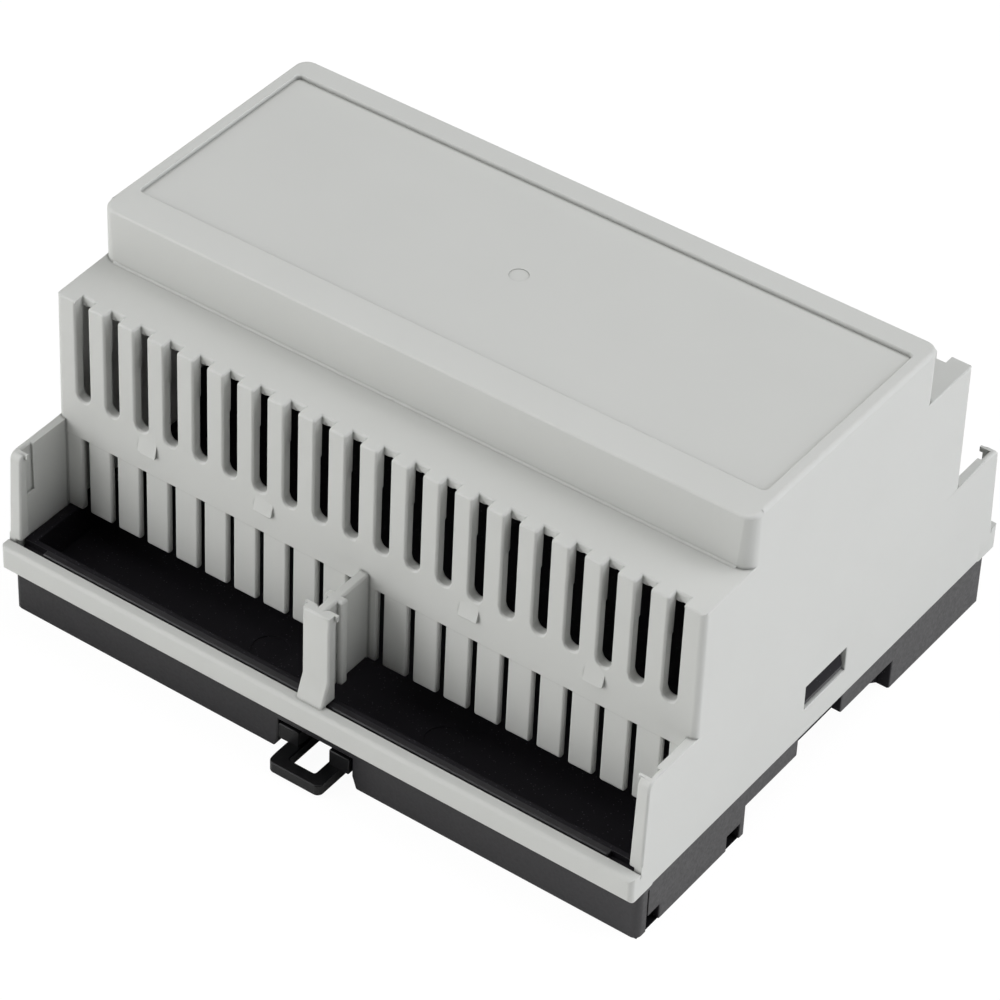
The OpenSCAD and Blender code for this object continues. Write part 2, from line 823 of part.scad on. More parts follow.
// The nose that slips under the rail's front brim, bevelled below
module clip_nose() {
    tip_y = -rail_y + nose_out;
    along_x(loop_w) polygon([
        [-runner_rear - nose_out, clip_foot_h],
        [-rail_y, clip_foot_h],
        [tip_y, hook_h - rail_brim],
        [tip_y, hook_h],
        [-runner_rear - nose_out, hook_h]
    ]);
}

// The sliding rail clip, one moulding
module rail_clip() {
    slit_x = clip_w / 2 - arm_t;
    color("#262628") translate([0, 0, -seat_h]) difference() {
        union() {
            clip_plate();
            at_both_ends() clip_runner();
            clip_nose();
        }
        at_both_ends() box(
            [slit_x - arm_slit_w, -lug_rear - lug_len - arm_len, plate_top],
            [slit_x, -lug_rear + lug_len, runner_top + past]
        );
    }
}

cover();
base();
rail_clip();
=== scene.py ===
"""Looks of a rail enclosure: a vented light-grey cover on a black base with a rail clip.

The three CAD mouldings keep their shapes. Each one is carried over as a welded copy whose
edges are rounded as an injection mould leaves them, and gets the finish of its plastic.
The studio is a pale floor under soft light, seen from the photograph's place.
"""

from __future__ import annotations

import json
import logging
import math
from dataclasses import dataclass, field
from enum import Enum

import bmesh
import bpy
import numpy as np
from mathutils import Matrix, Vector

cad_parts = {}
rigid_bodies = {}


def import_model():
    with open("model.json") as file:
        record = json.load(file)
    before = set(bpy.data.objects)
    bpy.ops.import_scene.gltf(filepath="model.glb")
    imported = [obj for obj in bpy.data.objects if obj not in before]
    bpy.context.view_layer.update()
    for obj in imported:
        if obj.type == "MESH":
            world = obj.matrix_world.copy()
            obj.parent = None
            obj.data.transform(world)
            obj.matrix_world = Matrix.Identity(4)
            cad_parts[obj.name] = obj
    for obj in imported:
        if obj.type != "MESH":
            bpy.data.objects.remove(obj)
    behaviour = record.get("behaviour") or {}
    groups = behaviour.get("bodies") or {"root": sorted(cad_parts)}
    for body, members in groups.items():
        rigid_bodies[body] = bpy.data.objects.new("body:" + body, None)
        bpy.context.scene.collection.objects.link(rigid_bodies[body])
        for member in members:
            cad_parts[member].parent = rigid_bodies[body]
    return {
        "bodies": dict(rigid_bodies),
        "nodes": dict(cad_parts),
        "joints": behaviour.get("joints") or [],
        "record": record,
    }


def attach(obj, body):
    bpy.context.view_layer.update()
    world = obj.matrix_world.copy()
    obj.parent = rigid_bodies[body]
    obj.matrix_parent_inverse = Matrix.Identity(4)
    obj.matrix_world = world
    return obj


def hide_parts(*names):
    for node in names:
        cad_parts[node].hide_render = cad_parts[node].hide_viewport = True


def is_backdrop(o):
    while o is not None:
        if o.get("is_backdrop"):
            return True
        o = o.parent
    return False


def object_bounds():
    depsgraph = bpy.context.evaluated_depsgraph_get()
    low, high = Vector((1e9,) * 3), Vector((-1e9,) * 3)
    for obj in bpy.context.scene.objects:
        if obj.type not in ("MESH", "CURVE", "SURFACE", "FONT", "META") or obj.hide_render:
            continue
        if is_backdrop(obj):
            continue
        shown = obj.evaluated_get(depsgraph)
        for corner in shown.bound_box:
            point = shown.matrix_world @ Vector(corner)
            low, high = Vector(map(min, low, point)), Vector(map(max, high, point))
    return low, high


LOG = logging.getLogger("rail_enclosure")
MM = 0.001
# Two vertices closer than this are one, in metres.
WELD = 1e-6
# A vertex this close to a cut's plane lies on it, in metres.
CUT_SLACK = 1e-7
# Lengths below this count as nothing, in metres.
TINY = 1e-9
# Points this close to a face's plane lie on it, in metres.
ON_PLANE = 2e-5
# An edge nearer than this to a ray's start is the edge that it starts from, in metres.
SELF_HIT = 2e-6
# Two faces turn back on each other below this cosine.
FOLD_COSINE = -0.3
# A triangle looks away from its face below this cosine, if its area counts at all.
LOOK_AWAY_COSINE = 0.2
LEAST_DOUBLE_AREA = 2e-11
# Edges and folds that are worked through at a time, to spare memory.
EDGES_AT_ONCE = 400
FOLDS_AT_ONCE = 200
# A speck is full within the first share of its cell's width and gone past the second.
SPECK_SHARES = (0.06, 0.16)
# The painted crease shade is full where less than the first share of the sky is free, and ends at
# the second.
PAINTED_CREASE_SHADE_SHARES = (0.5, 0.95)
WHITE = (1.0, 1.0, 1.0, 1.0)


class Body(Enum):
    """The CAD bodies that pieces ride on."""

    CASE = "case"
    CLIP = "clip"


class Slot(Enum):
    """The record's material slots."""

    COVER = "cover"
    BASE = "base"
    CLIP = "rail_clip"


def read_array(
    items: bpy.types.bpy_prop_collection, name: str, width: int, kind: type
) -> np.ndarray:
    """Reads one property of a mesh collection as a whole array.

    Args:
        items: vertices, edges, loops or polygons of a mesh.
        name: property to read.
        width: numbers in each entry.
        kind: number type.

    Returns:
        Array with one row for each entry.
    """
    values = np.empty(len(items) * width, np.float32 if kind is np.float64 else kind)
    items.foreach_get(name, values)
    return values.reshape(-1, width).astype(kind)


def grid_mesh(name: str, points: np.ndarray) -> bpy.types.Mesh:
    """Makes a mesh of quads from a grid of points, whose last column joins the first.

    Args:
        name: name of the mesh.
        points: array of rows, columns and three coordinates in metres.

    Returns:
        The mesh, with smooth faces.
    """
    rows, columns = points.shape[:2]
    low = np.arange(rows - 1)[:, None] * columns
    left = np.arange(columns)[None, :]
    high = low + columns
    right = (left + 1) % columns
    quads = np.stack([low + left, high + left, high + right, low + right], axis=-1).reshape(-1, 4)
    mesh = bpy.data.meshes.new(name)
    mesh.from_pydata(points.reshape(-1, 3).tolist(), [], quads.tolist())
    mesh.polygons.foreach_set("use_smooth", np.ones(len(quads), bool))
    return mesh


def add_piece(name: str, mesh: bpy.types.Mesh) -> bpy.types.Object:
    """Puts a mesh into the scene as an object at the origin."""
    piece = bpy.data.objects.new(name, mesh)
    bpy.context.scene.collection.objects.link(piece)
    return piece


def linear(hex_colour: str) -> tuple[float, float, float, float]:
    """Turns an sRGB hex colour into linear light.

    Args:
        hex_colour: colour such as "#c8c9c5".

    Returns:
        Red, green, blue and alpha 1 as linear values.
    """
    srgb = np.array([int(hex_colour[i : i + 2], 16) for i in (1, 3, 5)]) / 255.0
    light = np.where(srgb <= 0.04045, srgb / 12.92, ((srgb + 0.055) / 1.055) ** 2.4)
    return (*light.tolist(), 1.0)


def add_node(
    tree: bpy.types.NodeTree,
    kind: str,
    settings: dict[str, object] | None = None,
    inputs: dict[int | str, object] | None = None,
) -> bpy.types.Node:
    """Adds one node with its settings, input values and links.

    Args:
        tree: node tree that takes the node.
        kind: Blender's type name of the node.
        settings: properties of the node.
        inputs: values or output sockets for its input sockets.

    Returns:
        The new node.
    """
    node = tree.nodes.new(kind)
    for name, value in (settings or {}).items():
        setattr(node, name, value)
    for key, value in (inputs or {}).items():
        if isinstance(value, bpy.types.NodeSocket):
            tree.links.new(value, node.inputs[key])
        else:
            node.inputs[key].default_value = value
    return node


def per_metre(size_mm: float) -> float:
    """Gives the texture scale at which one cell of a pattern is size_mm wide."""
    return 1.0 / (size_mm * MM)


def inside_box(
    tree: bpy.types.NodeTree,
    place: bpy.types.NodeSocket,
    reach_mm: tuple[float, float],
    from_mm: tuple[float, float] = (-1.0, -1.0),
) -> bpy.types.NodeSocket:
    """Adds nodes that give 1 inside upright boxes about the origin and 0 outside.

    Args:
        tree: node tree that takes the nodes.
        place: Object coordinates.
        reach_mm: largest distances from the middle along X and Y.
        from_mm: least distances from the middle along X and Y.

    Returns:
        The socket with the mask.
    """
    parts = add_node(tree, "ShaderNodeSeparateXYZ", inputs={0: place}).outputs
    tests = []
    for part, low, high in zip(parts, from_mm, reach_mm):
        away = add_node(tree, "ShaderNodeMath", {"operation": "ABSOLUTE"}, {0: part})
        middle, half = (low + high) / 2.0 * MM, (high - low) / 2.0 * MM
        test = add_node(
            tree,
            "ShaderNodeMath",
            {"operation": "COMPARE"},
            {0: away.outputs[0], 1: middle, 2: half},
        )
        tests.append(test.outputs[0])
    both = add_node(
        tree, "ShaderNodeMath", {"operation": "MULTIPLY"}, {0: tests[0], 1: tests[1]}
    )
    return both.outputs[0]


@dataclass(frozen=True)
class CoreSide:
    """The duller skin inside a moulding, where the mould's core was left as cut.

    Attributes:
        reach_mm: half lengths along X and Y of the box that holds the inner faces.
        roughness: mean roughness of the inner faces.
        specular: specular level of the inner faces.
        dust: share of a speck's colour that shows on the outer faces.
    """

    reach_mm: tuple[float, float]
    roughness: float
    specular: float
    dust: float


@dataclass(frozen=True)
class MouldedPlastic:
    """A moulded plastic with the grain of its mould and slight clouds of colour.

    Attributes:
        name: what the plastic is and how its surface was made.
        colour: main sRGB colour.
        cloud: sRGB colour of the faint clouds left by the flow of the melt.
        speck: sRGB colour of fine specks of dust and glints.
        speck_share: share of the speck cells that hold a speck.
        roughness: mean roughness.
        spread: how far the roughness wanders about its mean.
        ior: refractive index.
        specular: specular level, 0.5 for a clean surface.
        grain_mm: width of the mould's grain.
        grain_height_mm: height of the mould's grain.
        cloud_mm: width of the clouds.
        speck_mm: spacing of the specks.
        core: skin of the inner faces, if it differs.
        painted_crease_shade: sRGB colour of the shade painted deep in the creases, where little
            light reaches.
        painted_crease_shade_mm: how far the painted crease shade spreads.
    """

    name: str
    colour: str
    cloud: str
    speck: str
    speck_share: float
    roughness: float
    spread: float
    ior: float
    specular: float
    grain_mm: float
    grain_height_mm: float
    cloud_mm: float
    speck_mm: float
    core: CoreSide | None = None
    # Painted shade: a darker colour laid into the creases in place of their shadow.
    painted_crease_shade: str = ""
    painted_crease_shade_mm: float = 0.0

    def material(self) -> bpy.types.Material:
        """Builds the node material of this plastic.

        Returns:
            A material on Object coordinates.
        """
        material = bpy.data.materials.new(self.name)
        material.use_nodes = True
        tree = material.node_tree
        tree.nodes.clear()
        place = add_node(tree, "ShaderNodeTexCoord").outputs["Object"]
        clouds = add_node(
            tree,
            "ShaderNodeTexNoise",
            inputs={
                "Vector": place,
                "Scale": per_metre(self.cloud_mm),
                "Detail": 3.0,
                "Roughness": 0.5,
            },
        )
        base = add_node(
            tree,
            "ShaderNodeMix",
            {"data_type": "RGBA"},
            {0: clouds.outputs["Fac"], 6: linear(self.colour), 7: linear(self.cloud)},
        )
        cells = add_node(
            tree,
            "ShaderNodeTexVoronoi",
            inputs={"Vector": place, "Scale": per_metre(self.speck_mm)},
        )
        full, gone = SPECK_SHARES
        near = add_node(
            tree,
            "ShaderNodeMapRange",
            inputs={"Value": cells.outputs["Distance"], 1: full, 2: gone, 3: 1.0, 4: 0.0},
        )
        chosen = add_node(
            tree,
            "ShaderNodeMath",
            {"operation": "LESS_THAN"},
            {0: cells.outputs["Color"], 1: self.speck_share},
        )
        speck = add_node(
            tree,
            "ShaderNodeMath",
            {"operation": "MULTIPLY"},
            {0: near.outputs[0], 1: chosen.outputs[0]},
        )
        if self.core:
            inside = inside_box(tree, place, self.core.reach_mm)
            dust = add_node(
                tree, "ShaderNodeMapRange", inputs={"Value": inside, 3: self.core.dust, 4: 1.0}
            )
            speck = add_node(
                tree,
                "ShaderNodeMath",
                {"operation": "MULTIPLY"},
                {0: speck.outputs[0], 1: dust.outputs[0]},
            )
        colour = add_node(
            tree,
            "ShaderNodeMix",
            {"data_type": "RGBA"},
            {0: speck.outputs[0], 6: base.outputs[2], 7: linear(self.speck)},
        )
        # Painted shade: where ambient occlusion finds little free sky, the colour turns to the
        # crease colour, standing in for the shadow in creases and recesses.
        if self.painted_crease_shade:
            free = add_node(
                tree,
                "ShaderNodeAmbientOcclusion",
                {"samples": 2, "only_local": True},
                {"Distance": self.painted_crease_shade_mm * MM},
            )
            deep, clear = PAINTED_CREASE_SHADE_SHARES
            unshaded = add_node(
                tree,
                "ShaderNodeMapRange",
                inputs={"Value": free.outputs["AO"], 1: deep, 2: clear},
            )
            colour = add_node(
                tree,
                "ShaderNodeMix",
                {"data_type": "RGBA"},
                {0: unshaded.outputs[0], 6: linear(self.painted_crease_shade), 7: colour.outputs[2]},
            )
        grain = add_node(
            tree,
            "ShaderNodeTexNoise",
            inputs={
                "Vector": place,
                "Scale": per_metre(self.grain_mm),
                "Detail": 2.0,
                "Roughness": 0.6,
            },
        )
        rough = add_node(
            tree,
            "ShaderNodeMapRange",
            inputs={
                "Value": grain.outputs["Fac"],
                3: self.roughness - self.spread,
                4: self.roughness + self.spread,
            },
        ).outputs[0]
        specular = self.specular
        if self.core:
            rough = add_node(
                tree,
                "ShaderNodeMapRange",
                inputs={"Value": inside, 3: rough, 4: self.core.roughness},
            ).outputs[0]
            specular = add_node(
                tree,
                "ShaderNodeMapRange",
                inputs={"Value": inside, 3: specular, 4: self.core.specular},
            ).outputs[0]
        relief = add_node(
            tree,
            "ShaderNodeBump",
            inputs={
                "Strength": 1.0,
                "Distance": self.grain_height_mm * MM,
                "Height": grain.outputs["Fac"],
            },
        )
        shader = add_node(
            tree,
            "ShaderNodeBsdfPrincipled",
            inputs={
                "Base Color": colour.outputs[2],
                "Roughness": rough,
                "IOR": self.ior,
                "Specular IOR Level": specular,
                "Normal": relief.outputs["Normal"],
            },
        )
        add_node(tree, "ShaderNodeOutputMaterial", inputs={"Surface": shader.outputs["BSDF"]})
        return material


# ABS for switchgear cases, moulded in a spark-eroded cavity: an even light grey with a
# fine satin grain, so its faces are calm and only the rounded edges catch the light.
# The real grain of about 0.05 mm is drawn at 0.35 mm, so that it shows at all.
COVER_ABS = MouldedPlastic(
    name="abs_light_grey_spark_eroded",
    colour="#cacbc8",
    cloud="#c6c7c4",
    speck="#bfc0bc",
    speck_share=0.03,
    roughness=0.52,
    spread=0.05,
    ior=1.5,
    specular=0.5,
    grain_mm=0.35,
    grain_height_mm=0.006,
    cloud_mm=14.0,
    speck_mm=3.0,
    # Painted shade: the creases take a darker grey where little sky is free.
    painted_crease_shade="#8e8f8c",
    painted_crease_shade_mm=0.5,
)

# The same ABS in black from a finer cavity: outside a deep black whose soft sheen takes
# up the pale floor, inside the dull skin of the core, which stays dark, with specks of
# dust and mould grain that show against it. The real grain of about 0.03 mm is drawn at
# 0.5 mm, so that it shows at all.
BASE_ABS = MouldedPlastic(
    name="abs_black_spark_eroded",
    colour="#18161b",
    cloud="#100e13",
    speck="#56565c",
    speck_share=0.8,
    roughness=0.42,
    spread=0.16,
    ior=1.5,
    specular=0.57,
    grain_mm=0.5,
    grain_height_mm=0.015,
    cloud_mm=3.0,
    speck_mm=0.55,
    core=CoreSide(reach_mm=(52.7, 41.5), roughness=0.7, specular=0.2, dust=0.12),
)

# Polyamide for the springy clip, moulded in a fine cavity: a deeper black than the base
# with a weak sheen and next to no grain, which is drawn coarser than the real one too.
CLIP_POLYAMIDE = MouldedPlastic(
    name="polyamide_black_moulded",
    colour="#0d0d0f",
    cloud="#0a0a0c",
    speck="#242427",
    speck_share=0.12,
    roughness=0.42,
    spread=0.05,
    ior=1.53,
    specular=0.3,
    grain_mm=0.25,
    grain_height_mm=0.004,
    cloud_mm=5.0,
    speck_mm=0.8,
)


@dataclass(frozen=True)
class CrispPlace:
    """A box whose edges the mould leaves crisper than the rest.

    Attributes:
        low_mm: its lowest corner.
        high_mm: its highest corner.
        radius_mm: largest radius inside it.
    """

    low_mm: tuple[float, float, float]
    high_mm: tuple[float, float, float]
    radius_mm: float


def edge_corners(mesh: bpy.types.Mesh) -> tuple[np.ndarray, np.ndarray, np.ndarray]:
    """Finds the two face corners that run along every edge.

    Args:
        mesh: mesh whose edges mostly have two faces.

    Returns:
        Two corner numbers and two face numbers for every edge, and a mask of the edges
        that have just two faces.
    """
    totals = read_array(mesh.polygons, "loop_total", 1, np.int32)[:, 0]
    corner_edge = read_array(mesh.loops, "edge_index", 1, np.int32)[:, 0]
    corner_face = np.repeat(np.arange(len(totals)), totals)
    order = np.argsort(corner_edge, kind="stable")
    pair = np.searchsorted(corner_edge[order], np.arange(len(mesh.edges)))
    corners = order[np.minimum(pair[:, None] + np.arange(2), len(order) - 1)]
    paired = np.bincount(corner_edge, minlength=len(mesh.edges)) == 2
    return corners, corner_face[corners], paired


def fold_places(mesh: bpy.types.Mesh) -> np.ndarray:
    """Finds where a rounded mesh folds over.

    A fold is an edge whose two faces turn back on each other, or a triangle that looks
    away from the face it is part of.

    Args:
        mesh: rounded mesh.

    Returns:
        Points of the folds in metres.
    """
    points = read_array(mesh.vertices, "co", 3, np.float64)
    normals = read_array(mesh.polygons, "normal", 3, np.float64)
    ends = read_array(mesh.edges, "vertices", 2, np.int32)
    _, face, paired = edge_corners(mesh)
    turn = np.einsum("ij,ij->i", normals[face[:, 0]], normals[face[:, 1]])
    folded = points[ends[paired & (turn < FOLD_COSINE)]]
    mesh.calc_loop_triangles()
    spots = points[read_array(mesh.loop_triangles, "vertices", 3, np.int32)]
    owner = read_array(mesh.loop_triangles, "polygon_index", 1, np.int32)[:, 0]
    square = np.cross(spots[:, 1] - spots[:, 0], spots[:, 2] - spots[:, 0])
    size = np.linalg.norm(square, axis=1)
    facing = np.einsum("ij,ij->i", square, normals[owner])
    turned = spots[(facing < LOOK_AWAY_COSINE * size) & (size > LEAST_DOUBLE_AREA)]
    return np.concatenate([folded.reshape(-1, 3), turned.reshape(-1, 3)])


def near_places(
    places: np.ndarray, start: np.ndarray, stop: np.ndarray, reach: float
) -> np.ndarray:
    """Finds the straight edges that pass close to any of some places.

    The distance of a place is taken to the nearest point of the edge between its ends.

    Args:
        places: points in metres.
        start: first ends of the edges.
        stop: last ends of the edges.
        reach: largest distance in metres.

    Returns:
        A mask of the edges.
    """
    run = stop - start
    square = np.maximum((run**2).sum(axis=1), TINY**2)
    close = np.zeros(len(start), bool)
    for some in np.array_split(places, len(places) // FOLDS_AT_ONCE + 1):
        away = some[:, None, :] - start[None]
        part = np.clip((away * run).sum(axis=2) / square, 0.0, 1.0)
        gap = away - part[..., None] * run
        close |= ((gap**2).sum(axis=2) < reach**2).any(axis=0)
    return close


def distances(points: np.ndarray, here: np.ndarray, way: np.ndarray) -> np.ndarray:
    """Measures how far points lie from places, each along the place's own direction.

    The distance is the dot product of the direction with the point, less that with the place.

    Args:
        points: points in metres.
        here: places in metres.
        way: one direction of length 1 for each place.

    Returns:
        Array with a row for each point and a column for each place.
    """
    return points @ way.T - np.einsum("ij,ij->i", here, way)


@dataclass(frozen=True)
class EdgeRounding:
    """The small radius that a mould leaves along the outer edges of a moulding.

    Attributes:
        radius_mm: radius along free edges.
        share: largest share of a narrow face that one edge may take.
        sharp_deg: least angle between two faces that counts as an edge.
        flat_deg: largest angle between triangles that belong to one flat face.
        segments: faces across each rounding.
        part_deg: angle between two faces of the rounded mesh that parts their shading.
        crisp: places with crisper edges.
        rounds: most rounds of mending where the rounding folds over.
        reach_mm: distance from a fold within which edges are left sharp.
        wider: share by which that distance grows with every round.
        evenness: how far large faces outweigh small ones in the shading, 50 for not at all.
    """

    radius_mm: float
    share: float = 0.3
    sharp_deg: float = 28.0
    flat_deg: float = 0.4
    segments: int = 2
    part_deg: float = 50.0
    crisp: tuple[CrispPlace, ...] = ()
    rounds: int = 8
    reach_mm: float = 0.3
    wider: float = 0.5
    evenness: int = 60

    def room(self, mesh: bpy.types.Mesh) -> tuple[np.ndarray, np.ndarray]:
        """Measures the room beside every edge, and finds the convex sharp ones.

        From the middle of each sharp edge a ray runs inwards over each of its two faces,
        square to the edge. The room is the shorter distance to the next sharp edge.

        Args:
            mesh: welded mesh of flat faces.

        Returns:
            Room of every edge in metres, and a mask of the convex sharp edges.
        """
        points = read_array(mesh.vertices, "co", 3, np.float64)
        ends = read_array(mesh.edges, "vertices", 2, np.int32)
        normals = read_array(mesh.polygons, "normal", 3, np.float64)
        corner_vertex = read_array(mesh.loops, "vertex_index", 1, np.int32)[:, 0]
        corners, face, paired = edge_corners(mesh)
        turn = np.einsum("ij,ij->i", normals[face[:, 0]], normals[face[:, 1]])
        sharp = paired & (turn < math.cos(math.radians(self.sharp_deg)))
        middle = points[ends].mean(axis=1)
        run = points[ends[:, 1]] - points[ends[:, 0]]
        length = np.linalg.norm(run, axis=1)
        run = run / np.maximum(length, TINY)[:, None]
        forward = corner_vertex[corners] == ends[:, :1]
        along = np.where(forward[..., None], run[:, None, :], -run[:, None, :])
        inward = np.cross(normals[face], along)
        bulge = np.einsum("ij,ij->i", inward[:, 0], normals[face[:, 1]])
        convex = sharp & (bulge < 0.0)

        room = np.full(len(ends), np.inf)
        rivals = np.flatnonzero(sharp)
        start = points[ends[rivals, 0]]
        stop = points[ends[rivals, 1]]
        for side in range(2):
            for chunk in np.array_split(rivals, max(1, len(rivals) // EDGES_AT_ONCE)):
                here = middle[chunk]
                ways = (normals[face[chunk, side]], run[chunk], inward[chunk, side])
                off_a, across_a, deep_a = (distances(start, here, way) for way in ways)
                off_b, across_b, deep_b = (distances(stop, here, way) for way in ways)
                gap = across_a - across_b
                missed = np.full_like(gap, -1.0)
                part = np.divide(across_a, gap, out=missed, where=np.abs(gap) > TINY)
                depth = deep_a + part * (deep_b - deep_a)
                hit = (np.abs(off_a) < ON_PLANE) & (np.abs(off_b) < ON_PLANE)
                hit &= (part >= 0.0) & (part <= 1.0) & (depth > SELF_HIT)
                nearest = np.where(hit, depth, np.inf).min(axis=0)
                room[chunk] = np.minimum(room[chunk], nearest)
        return room, convex

    def apply(self, piece: bpy.types.Object) -> None:
        """Rounds the convex edges of a piece, less where a face is narrow.

        The radius of an edge is the smaller of radius_mm and share times its room. Where
        the rounding folds over, the edges nearby are left sharp, and it is looked at again
        with a wider reach.

        Args:
            piece: object with a welded mesh of flat faces.
        """
        mesh = piece.data
        room, convex = self.room(mesh)
        radius = self.radius_mm * MM
        weight = np.where(convex, np.minimum(1.0, self.share * room / radius), 0.0)
        points = read_array(mesh.vertices, "co", 3, np.float64)
        start, stop = points[read_array(mesh.edges, "vertices", 2, np.int32).T]
        for place in self.crisp:
            middle = (start + stop) / (2.0 * MM)
            inside = ((middle > place.low_mm) & (middle < place.high_mm)).all(axis=1)
            weight[inside] = np.minimum(weight[inside], place.radius_mm / self.radius_mm)
        weights = "bevel_weight_edge"
        mesh.attributes.new(weights, "FLOAT", "EDGE")
        bevel = piece.modifiers.new("rounded_edges", "BEVEL")
        bevel.width = radius
        bevel.segments = self.segments
        bevel.limit_method = "WEIGHT"
        bevel.use_clamp_overlap = False
        bevel.loop_slide = True
        for turn in range(self.rounds + 1):
            mesh.attributes[weights].data.foreach_set("value", weight.astype(np.float32))
            mesh.update()
            made = piece.evaluated_get(bpy.context.evaluated_depsgraph_get())
            folds = fold_places(made.to_mesh())
            made.to_mesh_clear()
            if len(folds) == 0 or turn == self.rounds:
                break
            live = np.flatnonzero(weight > 0.0)
            reach = self.reach_mm * MM * (1.0 + self.wider * turn)
            weight[live[near_places(folds, start[live], stop[live], reach)]] = 0.0
        kept = 100.0 * float(np.mean(weight[convex] > 0.0))
        LOG.info("%s: %.0f%% of its edges rounded, %d fold points", piece.name, kept, len(folds))
        rounded = bpy.data.meshes.new_from_object(made)
        rounded.name = mesh.name
        piece.modifiers.clear()
        piece.data = rounded
        bpy.data.meshes.remove(mesh)
        self.part_shading(rounded)
        even = piece.modifiers.new("even_shading", "WEIGHTED_NORMAL")
        even.keep_sharp = True
        even.weight = self.evenness

    def part_shading(self, mesh: bpy.types.Mesh) -> None:
        """Marks the edges that stayed sharp, so that light does not run over them.

        Args:
            mesh: rounded mesh.
        """
        normals = read_array(mesh.polygons, "normal", 3, np.float64)
        _, face, paired = edge_corners(mesh)
        turn = np.einsum("ij,ij->i", normals[face[:, 0]], normals[face[:, 1]])
        sharp = read_array(mesh.edges, "use_edge_sharp", 1, bool)[:, 0]
        sharp |= paired & (turn < math.cos(math.radians(self.part_deg)))
        mesh.edges.foreach_set("use_edge_sharp", sharp)


@dataclass
class Moulding:
    """One CAD moulding carried over with rounded edges and its plastic's finish.

    Attributes:
        node: name of the CAD node.
        body: body that it rides on.
        slot: material slot of the record; not used.
        finish: plastic that it is made of.
        rounding: radius along its edges.
        cuts_x_mm: places along X where flat faces are parted.
        cuts_y_mm: places along Y where flat faces are parted.
        cuts_z_mm: places along Z where flat faces are parted.
        piece: the finished piece, once it is built.
    """

    node: str
    body: Body
    slot: Slot
    finish: MouldedPlastic
    rounding: EdgeRounding
    cuts_x_mm: tuple[float, ...] = (0.0,)
    cuts_y_mm: tuple[float, ...] = (0.0,)
    cuts_z_mm: tuple[float, ...] = ()
    piece: bpy.types.Object | None = field(default=None, init=False)

    def build(self, frame: dict) -> bpy.types.Object:
        """Makes the welded copy of the node and rounds its edges.

        Vertices that share a place to a micrometre become one, triangles of one flat face
        are joined into it, and faces with an inward corner are parted there.


        Returns:
            The new piece, which stands for the node.
        """
        source = frame["nodes"][self.node].data
        points = read_array(source.vertices, "co", 3, np.float64)
        source.calc_loop_triangles()
        triangles = read_array(source.loop_triangles, "vertices", 3, np.int32)
        keys = np.round(points / WELD).astype(np.int64)
        _, first, merged = np.unique(keys, axis=0, return_index=True, return_inverse=True)
        triangles = merged.reshape(-1)[triangles]
        whole = (np.diff(np.sort(triangles, axis=1), axis=1) > 0).all(axis=1)
        mesh = bpy.data.meshes.new(self.node + "_moulding")
        mesh.from_pydata(points[first].tolist(), [], triangles[whole].tolist())
        work = bmesh.new()
        work.from_mesh(mesh)
        self.part_faces(work)
        bmesh.ops.dissolve_limit(
            work,
            angle_limit=math.radians(self.rounding.flat_deg),
            verts=work.verts,
            edges=work.edges,
            delimit={"SEAM"},
        )
        bmesh.ops.connect_verts_concave(work, faces=work.faces)
        work.to_mesh(mesh)
        work.free()
        mesh.polygons.foreach_set("use_smooth", np.ones(len(mesh.polygons), bool))
        mesh.set_sharp_from_angle(angle=math.radians(self.rounding.sharp_deg))
        self.piece = add_piece(self.node + "_moulding", mesh)
        self.rounding.apply(self.piece)
        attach(self.piece, self.body.value)
        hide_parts(self.node)
        return self.piece

    def part_faces(self, work: bmesh.types.BMesh) -> None:
        """Parts the flat faces along planes, so that none has a hole in it.

        Args:
            work: mesh in the making.
        """
        for axis, places in enumerate((self.cuts_x_mm, self.cuts_y_mm, self.cuts_z_mm)):
            square = Vector(np.eye(3)[axis])
            for place in places:
                whole = [*work.verts, *work.edges, *work.faces]
                cut = bmesh.ops.bisect_plane(
                    work,
                    geom=whole,
                    dist=CUT_SLACK,
                    plane_co=square * place * MM,
                    plane_no=square,
                )
                for item in cut["geom_cut"]:
                    if isinstance(item, bmesh.types.BMEdge):
                        item.seam = True

    def dress(self) -> None:
        """Gives the piece the material of its plastic."""
        self.piece.data.materials.clear()
        self.piece.data.materials.append(self.finish.material())


@dataclass
class Cover(Moulding):
    """The light-grey cover: end plates, vent walls with combs, stepped top and sills.

    Attributes:
        vent_pitch_mm: pitch of the vent slots.
        vent_cuts: cuts on each side of the middle, two for each slot.
    """

    node: str = "cover"
    body: Body = Body.CASE
    slot: Slot = Slot.COVER
    finish: MouldedPlastic = COVER_ABS
    rounding: EdgeRounding = EdgeRounding(
        0.3,
        crisp=(
            CrispPlace((48.0, -6.0, 7.5), (54.0, 6.0, 13.0), 0.12),
            CrispPlace((-54.0, -6.0, 7.5), (-48.0, 6.0, 13.0), 0.12),
            CrispPlace((-52.0, -20.0, 51.5), (52.0, 20.0, 53.0), 0.15),
        ),
    )
    cuts_y_mm: tuple[float, ...] = (-40.0, 0.0, 40.0)
    cuts_z_mm: tuple[float, ...] = (8.8, 20.5, 29.5, 36.5)
    vent_pitch_mm: float = 5.08
    vent_cuts: int = 19

    def __post_init__(self) -> None:
        """Parts the flat faces in the middle of each slot and each rib."""
        steps = range(-self.vent_cuts, self.vent_cuts + 1)
        self.cuts_x_mm = tuple(self.vent_pitch_mm / 2.0 * step for step in steps)


@dataclass
class Base(Moulding):
    """The black base: floor, outer walls, rim, snap tabs, hooks and the clip's channel."""

    node: str = "base"
    body: Body = Body.CASE
    slot: Slot = Slot.BASE
    finish: MouldedPlastic = BASE_ABS
    rounding: EdgeRounding = EdgeRounding(0.25)
    cuts_x_mm: tuple[float, ...] = (-40.0, -30.0, -20.0, -12.7, 0.0, 12.7, 20.0, 30.0, 40.0)
    cuts_y_mm: tuple[float, ...] = (-24.6, 0.0)


